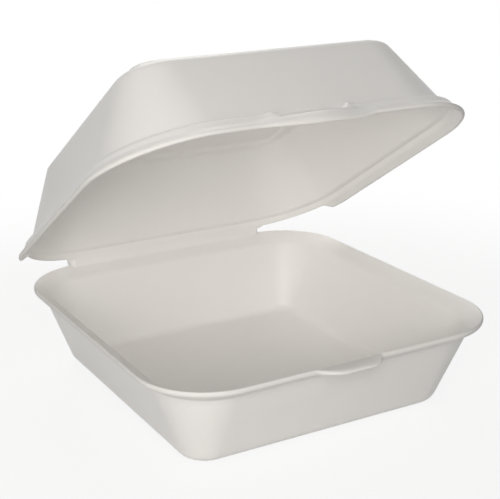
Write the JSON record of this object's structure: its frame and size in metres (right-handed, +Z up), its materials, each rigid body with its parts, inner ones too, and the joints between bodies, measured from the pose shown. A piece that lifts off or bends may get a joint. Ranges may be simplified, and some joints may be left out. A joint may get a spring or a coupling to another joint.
{
  "type": "hinged foam food container",
  "caption": "White foam food container: a shallow tray with a flared rim and locking tongue, and a deeper lid with a beaded rim that stands half open on a folded hinge.",
  "frame": {"origin": "on the table under the middle of the tray", "axes": "+X along the hinge, +Y from the front edge towards the hinge, +Z up"},
  "size_m": [0.1612, 0.1623, 0.14],
  "materials": {
    "foam": "satin white foam"
  },
  "bodies": {
    "tray": {"tray": "foam"},
    "lid": {"lid": "foam"}
  },
  "joints": [
    {"name": "lid_hinge", "type": "hinge", "parent": "tray", "child": "lid", "pos_m": [0, 0.07985, 0.0366], "axis": [-1, 0, 0], "range_deg": [-32, 146]}
  ]
}
